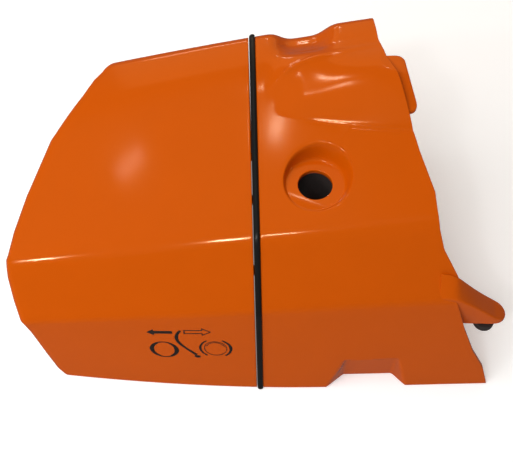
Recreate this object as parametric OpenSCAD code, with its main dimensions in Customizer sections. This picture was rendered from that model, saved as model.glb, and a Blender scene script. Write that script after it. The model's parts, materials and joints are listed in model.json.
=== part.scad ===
// Two-piece chainsaw top housing: filter cover behind, engine shroud in front, filter inside.
// +X points to the front of the shroud, +Z up, z = 0 on the lower rim.

/* [Housing] */
// Half of the width across the lower rim
half_width = 68.3; // [66:0.1:70]
// Wall thickness of both shells
wall = 2.5; // [2:0.1:3]
// Height of the lower crease at the joint
low_crease_z = 58.2; // [56:0.1:60]
// Height of the upper crease at the joint
high_crease_z = 83.2; // [81:0.1:85]
// Height of the plateau edge at the joint
plateau_z = 104.7; // [103:0.1:106]
// Distance of the joint plane in front of the origin
joint_x = 1.4; // [0:0.1:3]

/* [Seal] */
// Width of the rubber bead between the shells
seal_w = 2.7; // [2.4:0.1:3]
// How far the bead stands out of the shells
seal_proud = 1; // [0.5:0.1:1.2]

/* [Valve port] */
// Distance of the port in front of the joint plane
port_u = 25.5; // [24:0.5:27]
// Sideways place of the port
port_y = -9.5; // [-11:0.5:-8]
// Height of the dish floor
port_floor_z = 89; // [88.5:0.1:89.5]
// Radius of the dish floor
port_floor_r = 13; // [12:0.1:13.5]
// Radius of the hole
port_hole_r = 7.4; // [6:0.1:8]

/* [Filter] */
// Sideways place of the intake and filter axis
axis_y = -4; // [-6:0.5:0]
// Height of the intake and filter axis
axis_z = 38; // [36:0.5:40]
// Outer radius of the filter
filter_r = 30; // [28:0.5:30]
// Length of the pleated medium
filter_len = 28; // [24:0.5:28]
// Number of pleats
pleats = 40; // [24:2:44]
// Radius of the carburettor bore and of the intake
intake_r = 12; // [11:0.5:12.5]
// Distance between the carburettor studs
stud_gap = 39; // [38.5:0.5:40]

/* [Cover knob] */
// Radius of the knob
knob_r = 15; // [13:0.5:15.5]
// Length of the knob head
knob_len = 11; // [9:0.5:12]

/* [Hidden] */
$fn = 48;

// Colours
orange = [0.86, 0.34, 0.03];
black = [0.05, 0.05, 0.055];
grey = [0.25, 0.25, 0.26];
steel = [0.68, 0.69, 0.7];
brass = [0.78, 0.6, 0.25];

// ---- Section of the shells ----
// A section has six corners, numbered 0 to 5 from the near rim over the roof to the far rim.
// u is the distance in front of the joint plane. t is the place along a section: a whole number is
// a corner, and a fraction lies between two corners.
taper_from = 32;
rim_taper = 0.00156;
crease_taper = 0.00076;

function narrowing(u, k) = k * pow(max(0, taper_from - u), 1.8);
function crest(z, slope, sag, u) = z + slope * u - sag * u * u;
function corners(u) = [
    [-half_width + narrowing(u, rim_taper), 0],
    [-55 + narrowing(u, crease_taper), crest(low_crease_z, 0.112, 0.00035, u)],
    [-31.5 + 0.00018 * pow(u - 3, 2), crest(high_crease_z, 0.147, 0.0004, u)],
    [44.4 + 0.066 * u, crest(plateau_z, 0.167, 0.00035, u)],
    [63.9 + 0.04 * u, crest(plateau_z - 0.5, 0.167, 0.00035, u)],
    [half_width - narrowing(u, rim_taper), 0]
];

// Share of the stretch before and after each corner that its rounding takes
softness = [[0, 0], [0.045, 0.075], [0.11, 0.05], [0.22, 0.55], [0.3, 0.06], [0, 0]];

// Inward normal of the stretch from corner a to corner b
function inward(a, b) = let (d = (b - a) / norm(b - a)) [d.y, -d.x];

// Corners moved inward by d, with both rim corners kept on z = 0
function inset(c, d) = [
    for (i = [0:5])
        let (
            before = inward(c[max(0, i - 1)], c[max(1, i)]),
            after = inward(c[min(4, i)], c[min(5, i + 1)])
        )
        i == 0 || i == 5
            ? [c[i].x + d / before.x, 0]
            : c[i] + d * (before + after) / (1 + before * after)
];

function along(c, t) = let (i = min(4, floor(t))) c[i] + (t - i) * (c[i + 1] - c[i]);

// Point of the section at t, with a quadratic curve round each corner
function section_point(c, t) =
    let (i = round(t), a = softness[i][0], b = softness[i][1])
    a == 0 || t <= i - a || t >= i + b
        ? along(c, t)
        : let (k = (t - i + a) / (a + b))
            pow(1 - k, 2) * along(c, i - a) + 2 * k * (1 - k) * c[i] + k * k * along(c, i + b);

function ramp(x, a, b) = let (k = min(1, max(0, (x - a) / (b - a)))) k * k * (3 - 2 * k);

// Cone-shaped rise in the roof: a near flank that starts steep and bends over to a crown, which climbs
// towards the front, then a slope down to a low ridge, and on to the far shoulder
crown_h = 5;
ridge_h = 2.5;
flank_w = 14;
flank_bend = 2.4;
nose_u = 12;
function rise(u, y) =
    let (
        v = u - nose_u, near = 19.6 - 0.28 * v + 0.0014 * v * v,
        edge = corners(u)[3].x, ridge = edge - 8.4 * exp(-v / 14), far = edge + 5,
        width = min(flank_w, max(1, 0.6 * (ridge - near))), crown = near + width,
        top = crown_h * (0.35 * ramp(u, 9, 22) + 0.65 * ramp(u, 15, 62)),
        low = ridge_h * ramp(u, 5, 18) * (1 - 0.88 * ramp(u, 18, 56)),
        s = min(1, max(0, (y - near) / width)), k = (y - crown) / (ridge - crown)
    )
    y < crown ? top * (1 - pow(1 - s, flank_bend))
        : y < ridge ? top + (low - top) * k * (0.4 + 0.6 * k)
        : low * max(0, (far - y) / (far - ridge));

// Scoop across the far shoulder
scoop_u = 23;
scoop_half = 11;
scoop_depth = 5.5;
function scoop(u, y) = scoop_depth * exp(-pow((u - scoop_u) / scoop_half, 4)) * ramp(y, 45, 58);

// Places along a section where the mesh has a line
function steps(a, b, n) = [for (k = [0:n - 1]) a + (b - a) * k / n];
T = concat(
    steps(0, 0.955, 5), steps(0.955, 1.075, 3), steps(1.075, 1.89, 4), steps(1.89, 2.05, 4),
    steps(2.05, 3.45, 16), steps(3.45, 4.06, 5), steps(4.06, 5, 5), [5]
);

function tidy(v) = [for (k = v) round(k * 10000) / 10000];

// One line of the shell: at share v of the way from u = from to the end given by reach, moved by
// du along X and inset by d
function ring(from, reach, v, du, d) = [
    for (t = T)
        let (
            u = from + v * (lookup(t, reach) - from) + du,
            p = section_point(inset(corners(u), d), t),
            lift = from > 0 ? rise(u, p.x) - scoop(u, p.x) : 0,
            top = t > 1.5 && t < 4.5 ? lift : 0
        )
        tidy([joint_x + u, p.x, p.y + top])
];

// Closed solid between a list of outer lines and the matching list of inner lines
module shell(outer, inner) {
    n = len(T);
    half = len(outer);
    rings = concat(outer, [for (j = [half - 1:-1:0]) inner[j]]);
    count = 2 * half;
    points = [for (r = rings) for (p = r) p];
    sides = [
        for (j = [0:count - 1], i = [0:n - 2])
            let (k = (j + 1) % count)
            each [[j * n + i, j * n + i + 1, k * n + i + 1], [j * n + i, k * n + i + 1, k * n + i]]
    ];
    rims = [
        for (j = [0:half - 2], e = [0, n - 1])
            let (
                a = j * n + e, b = (j + 1) * n + e,
                c = (count - 2 - j) * n + e, d = (count - 1 - j) * n + e
            )
            each e == 0 ? [[a, b, c], [a, c, d]] : [[a, c, b], [a, d, c]]
    ];
    faces = [
        for (f = concat(sides, rims))
            if (points[f[0]] != points[f[1]] && points[f[1]] != points[f[2]]
                && points[f[0]] != points[f[2]])
                [f[0], f[1], f[2]]
    ];
    polyhedron(points = points, faces = faces, convexity = 8);
}

// ---- Engine shroud ----
// Front edge: distance from the joint at each place along the section
front_reach = [
    [0, 109], [0.2, 105], [0.41, 98], [0.69, 91], [1, 84.5], [1.3, 84.5], [1.65, 78], [1.9, 75.8],
    [2.15, 74.6], [2.37, 69.6], [3, 58], [3.3, 55.5], [4, 54], [4.4, 61], [4.8, 76], [5, 88]
];
shroud_from = seal_w / 2;
front_steps = 12;

module shroud_shell() {
    shares = [for (k = [0:front_steps]) k / front_steps];
    shell(
        [for (v = shares) ring(shroud_from, front_reach, v, 0, 0)],
        [for (v = shares) ring(shroud_from, front_reach, v, 0, wall)]
    );
}

// Height of the flat roof at a place
function roof_z(u, y) =
    let (c = corners(u)) c[2].y + (c[3].y - c[2].y) * (y - c[2].x) / (c[3].x - c[2].x);

// Half-space above the roof round the valve port, lowered by drop
module above_roof(drop) {
    slope = atan((roof_z(port_u, 10) - roof_z(port_u, -10)) / 20);
    climb = atan((roof_z(port_u + 10, 0) - roof_z(port_u - 10, 0)) / 20);
    translate([joint_x + port_u, port_y, roof_z(port_u, port_y) - drop])
        rotate([slope, -climb, 0])
            translate([-40, -40, 0])
                cube([80, 80, 30]);
}

port_mouth_r = 16;
port_cup_wall = 2.5;
module port_cup() {
    difference() {
        translate([joint_x + port_u, port_y, port_floor_z - wall])
            cylinder(r = port_mouth_r + port_cup_wall, h = 14);
        above_roof(0.4);
    }
}

module port_space() {
    translate([joint_x + port_u, port_y, port_floor_z])
        cylinder(r1 = port_floor_r, r2 = port_mouth_r + 0.8, h = 12);
    translate([joint_x + port_u, port_y, port_floor_z - wall - 1])
        cylinder(r = port_hole_r, h = wall + 2);
}

// Alcove in the near rim: a trapezoid recess, seen from the near side
alcove_u = 50.5;
alcove_depth = 6.3;
alcove_h = 22;
module alcove_block(grow) {
    hull() {
        translate([joint_x + alcove_u - 19 - grow, -half_width - 4, -1])
            cube([38 + 2 * grow, 5, 1]);
        translate([joint_x + alcove_u - 12 - grow, -half_width - 4, -1])
            cube([24 + 2 * grow, 4 + alcove_depth + grow, 1]);
        translate([joint_x + alcove_u - 12 - grow, -half_width - 4, alcove_h + grow - 1])
            cube([25 + 2 * grow, 8 + grow, 1]);
    }
}

// Everything outside the near wall, as a slab along the wall's slope
module outside_near_wall() {
    lean = atan((half_width - 55) / low_crease_z);
    translate([joint_x, -half_width, 0])
        rotate([-lean, 0, 0])
            translate([0, -20, -10])
                cube([110, 20, 60]);
}

module alcove_walls() {
    difference() {
        alcove_block(wall);
        outside_near_wall();
        translate([joint_x, -half_width - 20, -10])
            cube([110, 60, 10]);
    }
}

// Leg in front of the shroud, from the lower crease out to the peg: root, middle and tip
leg_y = -52.3;
leg_tip_u = 104.4;
leg_tip_r = 5;
leg_root_u = 79;
leg_mid_u = 92;
module leg_end() {
    translate([joint_x + leg_tip_u, leg_y, 45])
        cylinder(r = leg_tip_r, h = 4.5);
}

module leg_middle() {
    translate([joint_x + leg_mid_u, leg_y - 3.7, 44])
        cube([2, 8.6, 15]);
}

module leg() {
    hull() {
        translate([joint_x + leg_root_u, leg_y - 2.2, 44])
            cube([3, 7, 21]);
        leg_middle();
    }
    hull() {
        leg_middle();
        leg_end();
    }
}

// Tongue under the roof's front edge
tongue_t = 2.4;
module tongue() {
    hull() {
        for (p = [[52, 42], [66, 40.5], [71.5, 18], [58, 18]])
            translate([joint_x + p.x, p.y, roof_z(p.x, p.y) + rise(56, p.y) - 1.4 - tongue_t])
                cylinder(r = 1.5, h = tongue_t, $fn = 20);
    }
}

// Bosses inside the shroud that take the partition plate's screws: places [y, z]
plate_from = 4;
plate_t = 2.5;
plate_bosses = [[-55.1, 26], [60.2, 20], [-24.5, 78.5], [57.5, 93]];
boss_r = 5;
boss_len = 14;
screw_r = 1.9;
module on_plate(places) {
    for (p = places)
        translate([joint_x, p.x, p.y])
            rotate([0, 90, 0])
                children();
}

// Screw places in the far wall: [u, z]
far_screws = [[34, 16], [72, 14]];
far_boss_y = 48;
module on_far_wall() {
    for (p = far_screws)
        translate([joint_x + p.x, far_boss_y, p.y])
            rotate([-90, 0, 0])
                children();
}
sleeve_r = 5;
sleeve_len = 15;
screw_clear_r = 2.7;

module engine_shroud() color(orange)
difference() {
    union() {
        shroud_shell();
        port_cup();
        alcove_walls();
        leg();
        tongue();
        on_plate(plate_bosses)
            translate([0, 0, plate_from + plate_t])
                cylinder(r = boss_r, h = boss_len);
        on_far_wall()
            cylinder(r = sleeve_r + 2.5, h = 18.5);
    }
    port_space();
    alcove_block(0);
    on_plate(plate_bosses)
        translate([0, 0, plate_from + plate_t - 1])
            cylinder(r = screw_r, h = boss_len - 2);
    on_far_wall()
        translate([0, 0, -1])
            cylinder(r = sleeve_r, h = 22);
    translate([joint_x + leg_bush_u, leg_bush_y, 30])
        cylinder(r = bush_neck_r, h = bush_top - 30);
}

// ---- Filter cover ----
rear_reach = [
    [0, -96.5], [0.1, -98.8], [0.4, -101.9], [0.8, -105.5], [1, -108.2], [1.35, -110.4], [1.75, -112.1],
    [2, -112.2], [2.2, -109], [2.43, -103.6], [2.7, -95.4], [2.85, -90.8], [3, -86.8], [3.3, -78.9],
    [3.6, -72.9], [4, -65.2], [5, -48]
];
cover_from = -seal_w / 2 - 0.3;
rear_round = 3;
rear_wall_x = 2.9;
cover_steps = 7;
wall_rows = 5;

// Lines of the rear wall, from the outline down to a straight foot on z = 0
function rear_rows(outline) =
    let (
        a = outline[0], b = outline[len(outline) - 1],
        feet = [for (p = outline) [a.x + (b.x - a.x) * (p.y - a.y) / (b.y - a.y), p.y, 0]]
    )
    [
        for (k = [1:wall_rows])
            [for (i = [0:len(outline) - 1]) tidy(outline[i] + (feet[i] - outline[i]) * k / wall_rows)]
    ];

cover_outer =
    let (
        body = [for (k = [0:cover_steps])
            ring(cover_from, rear_reach, k / cover_steps, rear_round * k / cover_steps, 0)],
        bend = ring(cover_from, rear_reach, 1, 0.9, 0.9),
        outline = ring(cover_from, rear_reach, 1, 0, rear_round)
    )
    concat(body, [bend, outline], rear_rows(outline));

cover_inner =
    let (
        body = [for (k = [0:cover_steps])
            ring(cover_from, rear_reach, k / cover_steps, (rear_round + 1) * k / cover_steps, wall)],
        bend = ring(cover_from, rear_reach, 1, 0.7 + rear_wall_x, wall + 0.4),
        outline = ring(cover_from, rear_reach, 1, rear_wall_x, wall + 1)
    )
    concat(body, [bend, outline], rear_rows(outline));

// Seat of the knob: a flat floor across X, in a round cup through the slanting rear wall
seat_u = -92;
cup_r = 17.5;
shank_r = 6;
module along_axis(u) {
    translate([joint_x + u, axis_y, axis_z])
        rotate([0, 90, 0])
            children();
}

// Everything behind the rear wall near the knob, with the surface moved in by a little
rear_wall_u = -90.6;
rear_skew = 0.454;
rear_lean = -0.413;
module behind_rear_wall(in) {
    out = [-1, rear_skew, rear_lean] / norm([1, rear_skew, rear_lean]);
    translate([joint_x + rear_wall_u + in, axis_y, axis_z])
        rotate([0, acos(out.z), atan2(out.y, out.x)])
            translate([-60, -60, 0])
                cube([120, 120, 60]);
}

module filter_cover() color(orange)
difference() {
    union() {
        shell(cover_inner, cover_outer);
        difference() {
            along_axis(-112)
                cylinder(r = cup_r + wall, h = 36);
            behind_rear_wall(1.2);
        }
        along_axis(seat_u)
            cylinder(r = cup_r + wall, h = 16);
    }
    along_axis(seat_u - 30)
        cylinder(r = cup_r, h = 30);
    along_axis(seat_u + wall)
        cylinder(r = cup_r, h = 40);
    along_axis(seat_u - 1)
        cylinder(r = shank_r + 0.06, h = wall + 2);
}

// ---- Seal ----
function bead(u, d) = [
    for (t = T)
        let (p = section_point(inset(corners(u), d), t))
        tidy([joint_x + u, p.x, p.y])
];

module joint_seal() color(black) {
    a = cover_from + 0.3;
    b = shroud_from;
    m = (a + b) / 2;
    lip = -wall - 0.8;
    shell(
        [bead(a, -0.3), bead(a + 0.5, -0.8), bead(m, -seal_proud), bead(b - 0.5, -0.8), bead(b, -0.3)],
        [bead(a, -lip), bead(a + 0.5, -lip), bead(m, -lip), bead(b - 0.5, -lip), bead(b, -lip)]
    );
}

// ---- Printed symbol on the near wall of the cover ----
symbol_t = 0.25;
print_gap = 0.04;
module on_near_wall(x, z) {
    c = corners(x - joint_x);
    lean = atan((c[1].x - c[0].x) / c[1].y);
    turn = atan((corners(x - joint_x + 5)[0].x - corners(x - joint_x - 5)[0].x) / 10);
    translate([x, c[0].x + z * (c[1].x - c[0].x) / c[1].y, z])
        rotate([0, 0, turn])
            rotate([90 - lean, 0, 0])
                translate([0, 0, print_gap])
                    linear_extrude(symbol_t)
                        children();
}

module arrow(dir, long) {
    polygon([[0, 0], [4.5 * dir, 3.4], [4.5 * dir, 1.2], [long * dir, 1.2], [long * dir, -1.2],
        [4.5 * dir, -1.2], [4.5 * dir, -3.4]]);
}

module arc_band(r, w, from, to) {
    n = 14;
    a = [for (k = [0:n]) from + (to - from) * k / n];
    polygon(concat([for (q = a) (r + w / 2) * [cos(q), sin(q)]],
        [for (k = [n:-1:0]) (r - w / 2) * [cos(a[k]), sin(a[k])]]));
}

// Ring of two thick side arcs, and a thinner pair round a fine full circle
ring_r = 6.7;
arrow_len = 11.4;
module brake_symbol() color(black) {
    on_near_wall(-49, 41.2)
        arrow(1, arrow_len);
    on_near_wall(-20.3, 43.5)
        difference() {
            arrow(-1, arrow_len);
            translate([-1.4, 0])
                scale(0.78)
                    arrow(-1, arrow_len + 1);
        }
    on_near_wall(-42.3, 28.6) {
        arc_band(ring_r - 1, 2, 120, 240);
        arc_band(ring_r - 1, 2, -60, 60);
        arc_band(ring_r - 0.5, 0.9, 62, 118);
        arc_band(ring_r - 0.5, 0.9, 242, 298);
    }
    on_near_wall(-18.6, 31) {
        arc_band(ring_r + 0.3, 1.1, -60, 62);
        arc_band(ring_r + 0.3, 1.1, 122, 236);
        arc_band(ring_r - 1.8, 0.5, 0, 350);
    }
    on_near_wall(-31, 34)
        polygon([[-3.6, 9.5], [-5.8, 4.4], [-4.8, -0.7], [-1, -5.4], [3.4, -9.8], [5.2, -9.4],
            [5.2, -8.2], [0.5, -4.2], [-3, 0.2], [-4, 4], [-2.2, 9]]);
}

// ---- Leg bush ----
leg_bush_u = 101.2;
leg_bush_y = -53;
bush_neck_r = 3;
bush_top = 48.5;
peg_from = 39.2;
peg_len = 3.8;
peg_r = 4.65;
module leg_bush() color(black)
translate([joint_x + leg_bush_u, leg_bush_y, peg_from])
union() {
    cylinder(r = peg_r, h = peg_len);
    cylinder(r = bush_neck_r, h = bush_top - peg_from);
}

// ---- Valve boot: rubber sleeve under the valve port ----
boot_r = 10;
boot_bore_r = 8.2;
boot_len = 25;
module valve_boot() color(black)
translate([joint_x + port_u, port_y, port_floor_z - wall - boot_len])
difference() {
    cylinder(r = boot_r, h = boot_len);
    translate([0, 0, -1])
        cylinder(r = boot_bore_r, h = boot_len + 2);
}

// ---- Partition plate and what it carries ----
flange_z = axis_z;
window = [38, 56];
window_r = 8;
pivot = [38, 78];
grommet_place = [-38, 52];
grommet_r = 5;

module partition_plate() color(black) {
    c = inset(corners(plate_from + 1), wall + 0.4);
    outline = [for (t = T) section_point(c, t)];
    difference() {
        translate([joint_x + plate_from, 0, 0])
            rotate([90, 0, 90])
                linear_extrude(plate_t)
                    polygon([for (p = outline) [p.x, max(2, p.y)]]);
        along_axis(0)
            cylinder(r = intake_r + 1, h = 12);
        on_plate([for (s = [-1, 1]) [axis_y + s * stud_gap / 2, axis_z]])
            cylinder(r = 2.7, h = 12);
        on_plate(plate_bosses)
            cylinder(r = 2.3, h = 12);
        on_plate([window])
            cylinder(r = window_r, h = 12);
        on_plate([pivot])
            cylinder(r = 2, h = 12);
        on_plate([grommet_place])
            cylinder(r = grommet_r, h = 12);
    }
}

// Pan-head screw pointing to +Z from its head's underside at z = 0
module pan_screw(head_r, head_h, r, long) {
    difference() {
        union() {
            translate([0, 0, -head_h])
                cylinder(r1 = head_r - 0.8, r2 = head_r, h = head_h);
            cylinder(r = r, h = long);
        }
        for (a = [0, 90])
            rotate([0, 0, a])
                translate([-head_r * 0.55, -0.5, -head_h - 1])
                    cube([head_r * 1.1, 1, 2.2]);
    }
}

module plate_screws() color(steel)
on_plate(plate_bosses)
    translate([0, 0, plate_from])
        pan_screw(3.4, 2.4, screw_r, 12);

function two_lobes() = [for (s = [-1, 1]) [axis_y + s * stud_gap / 2, axis_z]];

// Flange outline: a round middle with a lobe at each stud
module lobed(h, r_mid, r_lobe) {
    along_axis(0)
        cylinder(r = r_mid, h = h);
    on_plate(two_lobes())
        cylinder(r = r_lobe, h = h);
    translate([joint_x, axis_y - stud_gap / 2, axis_z - r_lobe])
        cube([h, stud_gap, 2 * r_lobe]);
}

module stud_holes(from, long, r) {
    on_plate(two_lobes())
        translate([0, 0, from])
            cylinder(r = r, h = long);
}

gasket_t = 0.8;
flange_from = plate_from + plate_t + gasket_t;
flange_t = 4;
module flange_gasket() color(grey)
difference() {
    translate([plate_from + plate_t, 0, 0])
        lobed(gasket_t, 20, 7);
    along_axis(0)
        cylinder(r = intake_r + 0.5, h = 20);
    stud_holes(0, 20, 2.7);
}

spigot_len = 22;
module intake_flange() color(black)
difference() {
    union() {
        translate([flange_from, 0, 0])
            lobed(flange_t, 20, 7);
        along_axis(flange_from)
            cylinder(r = intake_r + 3, h = spigot_len);
        along_axis(flange_from + spigot_len - 3)
            cylinder(r = intake_r + 4.2, h = 3);
        along_axis(flange_from + 9)
            cylinder(r = intake_r + 4.2, h = 2);
    }
    along_axis(flange_from - 1)
        cylinder(r = intake_r, h = spigot_len + 2);
    stud_holes(0, 20, 2.6);
}

stud_r = 2.5;
nut_flats = 8;
hex_r = nut_flats / sqrt(3);
nut_h = 4;
module flange_nuts() color(steel)
on_plate(two_lobes())
    translate([0, 0, flange_from + flange_t])
        difference() {
            cylinder(r = hex_r, h = nut_h, $fn = 6);
            translate([0, 0, -1])
                cylinder(r = stud_r, h = nut_h + 2);
        }

base_front = -30;
base_t = 3;
module carburettor_studs() color(steel)
on_plate(two_lobes())
    translate([0, 0, base_front - base_t - 7])
        cylinder(r = stud_r, h = flange_from + flange_t + nut_h + 1.5 - base_front + base_t + 7);

module base_gasket() color(grey)
difference() {
    translate([base_front, 0, 0])
        lobed(gasket_t, 19, 7);
    along_axis(base_front - 1)
        cylinder(r = intake_r + 1, h = 5);
    stud_holes(base_front - 1, 5, 2.7);
}

core_r = filter_r - 5.4;
hub_r = 5.5;
stud_m6_r = 3;
module filter_base() color(black)
difference() {
    union() {
        difference() {
            union() {
                along_axis(base_front - base_t)
                    cylinder(r = filter_r + 2, h = base_t);
                along_axis(base_front - base_t - 3)
                    difference() {
                        cylinder(r = filter_r + 2, h = 3.5);
                        translate([0, 0, -1])
                            cylinder(r = filter_r + 0.3, h = 5);
                    }
            }
            along_axis(base_front - base_t - 5)
                cylinder(r = intake_r, h = 12);
        }
        for (a = [30, 150, 270])
            along_axis(base_front - base_t)
                rotate([0, 0, a])
                    translate([0, -1.2, 0])
                        cube([intake_r + 1, 2.4, base_t]);
        along_axis(base_front - base_t - 4)
            cylinder(r = hub_r, h = base_t + 4);
    }
    stud_holes(base_front - base_t - 1, base_t + 2, 2.6);
    along_axis(base_front - base_t - 6)
        cylinder(r = stud_m6_r, h = 12);
}

module base_washers() color(steel)
on_plate(two_lobes())
    translate([0, 0, base_front - base_t - 1])
        difference() {
            cylinder(r = 4.2, h = 1);
            translate([0, 0, -1])
                cylinder(r = 2.65, h = 3);
        }

module base_nuts() color(steel)
on_plate(two_lobes())
    translate([0, 0, base_front - base_t - 1 - nut_h])
        difference() {
            cylinder(r = hex_r, h = nut_h, $fn = 6);
            translate([0, 0, -1])
                cylinder(r = stud_r, h = nut_h + 2);
        }

// Central stud, from the hub to the inside of the knob
stud_end = seat_u - 6;
module cover_stud() color(steel)
along_axis(stud_end)
    cylinder(r = stud_m6_r, h = base_front - stud_end);

// ---- Filter ----
ring_t = 3;
media_from = base_front - base_t - ring_t - filter_len;
module filter_ring() color(grey)
along_axis(base_front - base_t - ring_t)
difference() {
    cylinder(r = filter_r, h = ring_t);
    translate([0, 0, -1])
        cylinder(r = core_r + 0.2, h = ring_t + 2);
}

module filter_core() color(steel)
along_axis(media_from)
difference() {
    cylinder(r = core_r, h = filter_len);
    translate([0, 0, -1])
        cylinder(r = core_r - 0.8, h = filter_len + 2);
    for (row = [0:3], a = [0:30:330])
        translate([0, 0, 6 + row * 8.6])
            rotate([90, 0, a + (row % 2) * 15])
                translate([0, 0, core_r - 3])
                    cylinder(r = 2, h = 6);
}

// Pleats: a star-shaped outline round the core
module filter_media() color([0.78, 0.76, 0.68])
along_axis(media_from)
linear_extrude(filter_len)
difference() {
    polygon([
        for (k = [0:pleats - 1])
            each [
                for (q = [[0, filter_r - 0.6], [0.35, filter_r - 0.6], [0.5, core_r + 1.3],
                        [0.85, core_r + 1.3]])
                    let (a = 360 * (k + q[0]) / pleats)
                    q[1] * [cos(a), sin(a)]
            ]
    ]);
    circle(r = core_r + 0.1);
}

cap_t = 3;
module filter_cap() color(grey)
along_axis(media_from - cap_t)
difference() {
    union() {
        cylinder(r = filter_r, h = cap_t);
        cylinder(r = 9, h = cap_t + 3);
    }
    translate([0, 0, -1])
        cylinder(r = stud_m6_r + 0.3, h = cap_t + 6);
}

module filter_washer() color(steel)
along_axis(media_from - cap_t - 1)
difference() {
    cylinder(r = 8, h = 1);
    translate([0, 0, -1])
        cylinder(r = stud_m6_r + 0.3, h = 3);
}

// Knurled nut, 0.3 mm behind its washer
module filter_nut() color(brass)
along_axis(media_from - cap_t - 1.3 - 7)
difference() {
    union() {
        cylinder(r = 6, h = 7);
        cylinder(r = 9, h = 4.5);
    }
    for (a = [0:20:340])
        rotate([0, 0, a])
            translate([9.2, 0, -1])
                cylinder(r = 0.7, h = 7, $fn = 16);
    translate([0, 0, -1])
        cylinder(r = stud_m6_r + 0.05, h = 10);
}

// ---- Warm-air shutter ----
shutter_t = 1.8;
shutter_from = plate_from - 0.3 - shutter_t;
shutter_arm = pivot.y - window.y;
module preheat_shutter() color(grey)
difference() {
    union() {
        on_plate([window])
            translate([0, 0, shutter_from])
                cylinder(r = window_r + 2.5, h = shutter_t);
        on_plate([pivot])
            translate([0, 0, shutter_from])
                cylinder(r = 5.5, h = shutter_t);
        translate([joint_x + shutter_from, pivot.x - 4.5, window.y])
            cube([shutter_t, 9, shutter_arm]);
        translate([joint_x + shutter_from - 5, pivot.x - 1, window.y - 8])
            cube([5, 2, 10]);
    }
    on_plate([pivot])
        translate([0, 0, shutter_from - 1])
            cylinder(r = 2.05, h = shutter_t + 2);
}

module shutter_pin() color(steel)
on_plate([pivot])
union() {
    translate([0, 0, shutter_from - 0.3])
        cylinder(r = 2, h = plate_from + plate_t + 1.5 - shutter_from + 0.3);
    translate([0, 0, shutter_from - 1.8])
        cylinder(r = 4, h = 1.5);
    translate([0, 0, plate_from + plate_t])
        cylinder(r = 3.4, h = 1.2);
}

rod_r = 1.6;
module rod_grommet() color(black)
on_plate([grommet_place])
difference() {
    union() {
        translate([0, 0, plate_from - 2])
            cylinder(r = grommet_r + 2, h = 2);
        translate([0, 0, plate_from])
            cylinder(r = grommet_r, h = plate_t);
        translate([0, 0, plate_from + plate_t])
            cylinder(r1 = grommet_r + 1.5, r2 = grommet_r, h = 2);
    }
    translate([0, 0, plate_from - 4])
        cylinder(r = rod_r, h = 12);
}

// ---- Sleeves for the two screws that fasten the housing to the engine ----
module shroud_sleeves() color(steel)
on_far_wall()
difference() {
    cylinder(r = sleeve_r, h = sleeve_len);
    translate([0, 0, -1])
        cylinder(r = screw_clear_r, h = sleeve_len + 2);
}

// ---- Knob ----
washer_gap = 0.3;
knob_from = seat_u - washer_gap - 1.2;
insert_r = 4.2;
clip_from = seat_u + wall + 0.3;
module cover_knob() color(black)
difference() {
    union() {
        along_axis(knob_from - knob_len)
            cylinder(r = knob_r, h = knob_len);
        along_axis(knob_from)
            cylinder(r = shank_r, h = clip_from + 3 - knob_from);
    }
    for (a = [0:30:330])
        along_axis(knob_from - knob_len - 1)
            rotate([0, 0, a])
                translate([knob_r + 1.3, 0, 0])
                    cylinder(r = 2.6, h = knob_len - 1);
    along_axis(knob_from - knob_len - 1)
        translate([-knob_r * 0.8, -1.5, 0])
            cube([knob_r * 1.6, 3, 4]);
    along_axis(knob_from - knob_len + 6)
        cylinder(r = insert_r, h = 30);
    along_axis(clip_from)
        difference() {
            cylinder(r = shank_r + 1, h = 1);
            translate([0, 0, -1])
                cylinder(r = shank_r - 0.9, h = 3);
        }
}

module knob_insert() color(brass)
along_axis(knob_from - knob_len + 6)
difference() {
    cylinder(r = insert_r, h = clip_from + 3 - knob_from + knob_len - 6);
    translate([0, 0, -1])
        cylinder(r = stud_m6_r + 0.05, h = 40);
}

module knob_washer() color(black)
along_axis(knob_from)
difference() {
    cylinder(r = 12, h = 1.2);
    translate([0, 0, -1])
        cylinder(r = shank_r, h = 4);
}

module knob_clip() color(steel)
along_axis(clip_from)
difference() {
    cylinder(r = 8.5, h = 1);
    translate([0, 0, -1])
        cylinder(r = shank_r - 0.9, h = 3);
    translate([0, -2.4, -1])
        cube([12, 4.8, 3]);
}

engine_shroud();
filter_cover();
joint_seal();
brake_symbol();
leg_bush();
valve_boot();
partition_plate();
plate_screws();
intake_flange();
flange_gasket();
flange_nuts();
carburettor_studs();
base_gasket();
filter_base();
base_washers();
base_nuts();
cover_stud();
filter_ring();
filter_core();
filter_media();
filter_cap();
filter_washer();
filter_nut();
preheat_shutter();
shutter_pin();
rod_grommet();
shroud_sleeves();
cover_knob();
knob_insert();
knob_washer();
knob_clip();
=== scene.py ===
"""Looks of the two-piece chainsaw top housing, built round the CAD frame.

The shape functions work in millimetres. u is the distance in front of the joint plane, and t is the
place along a section of the shells: 0 at the near rim, 1 to 4 at the creases, 5 at the far rim.
"""
import json
import math

import bmesh
import bpy
import numpy as np
from mathutils import Matrix, Vector


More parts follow.
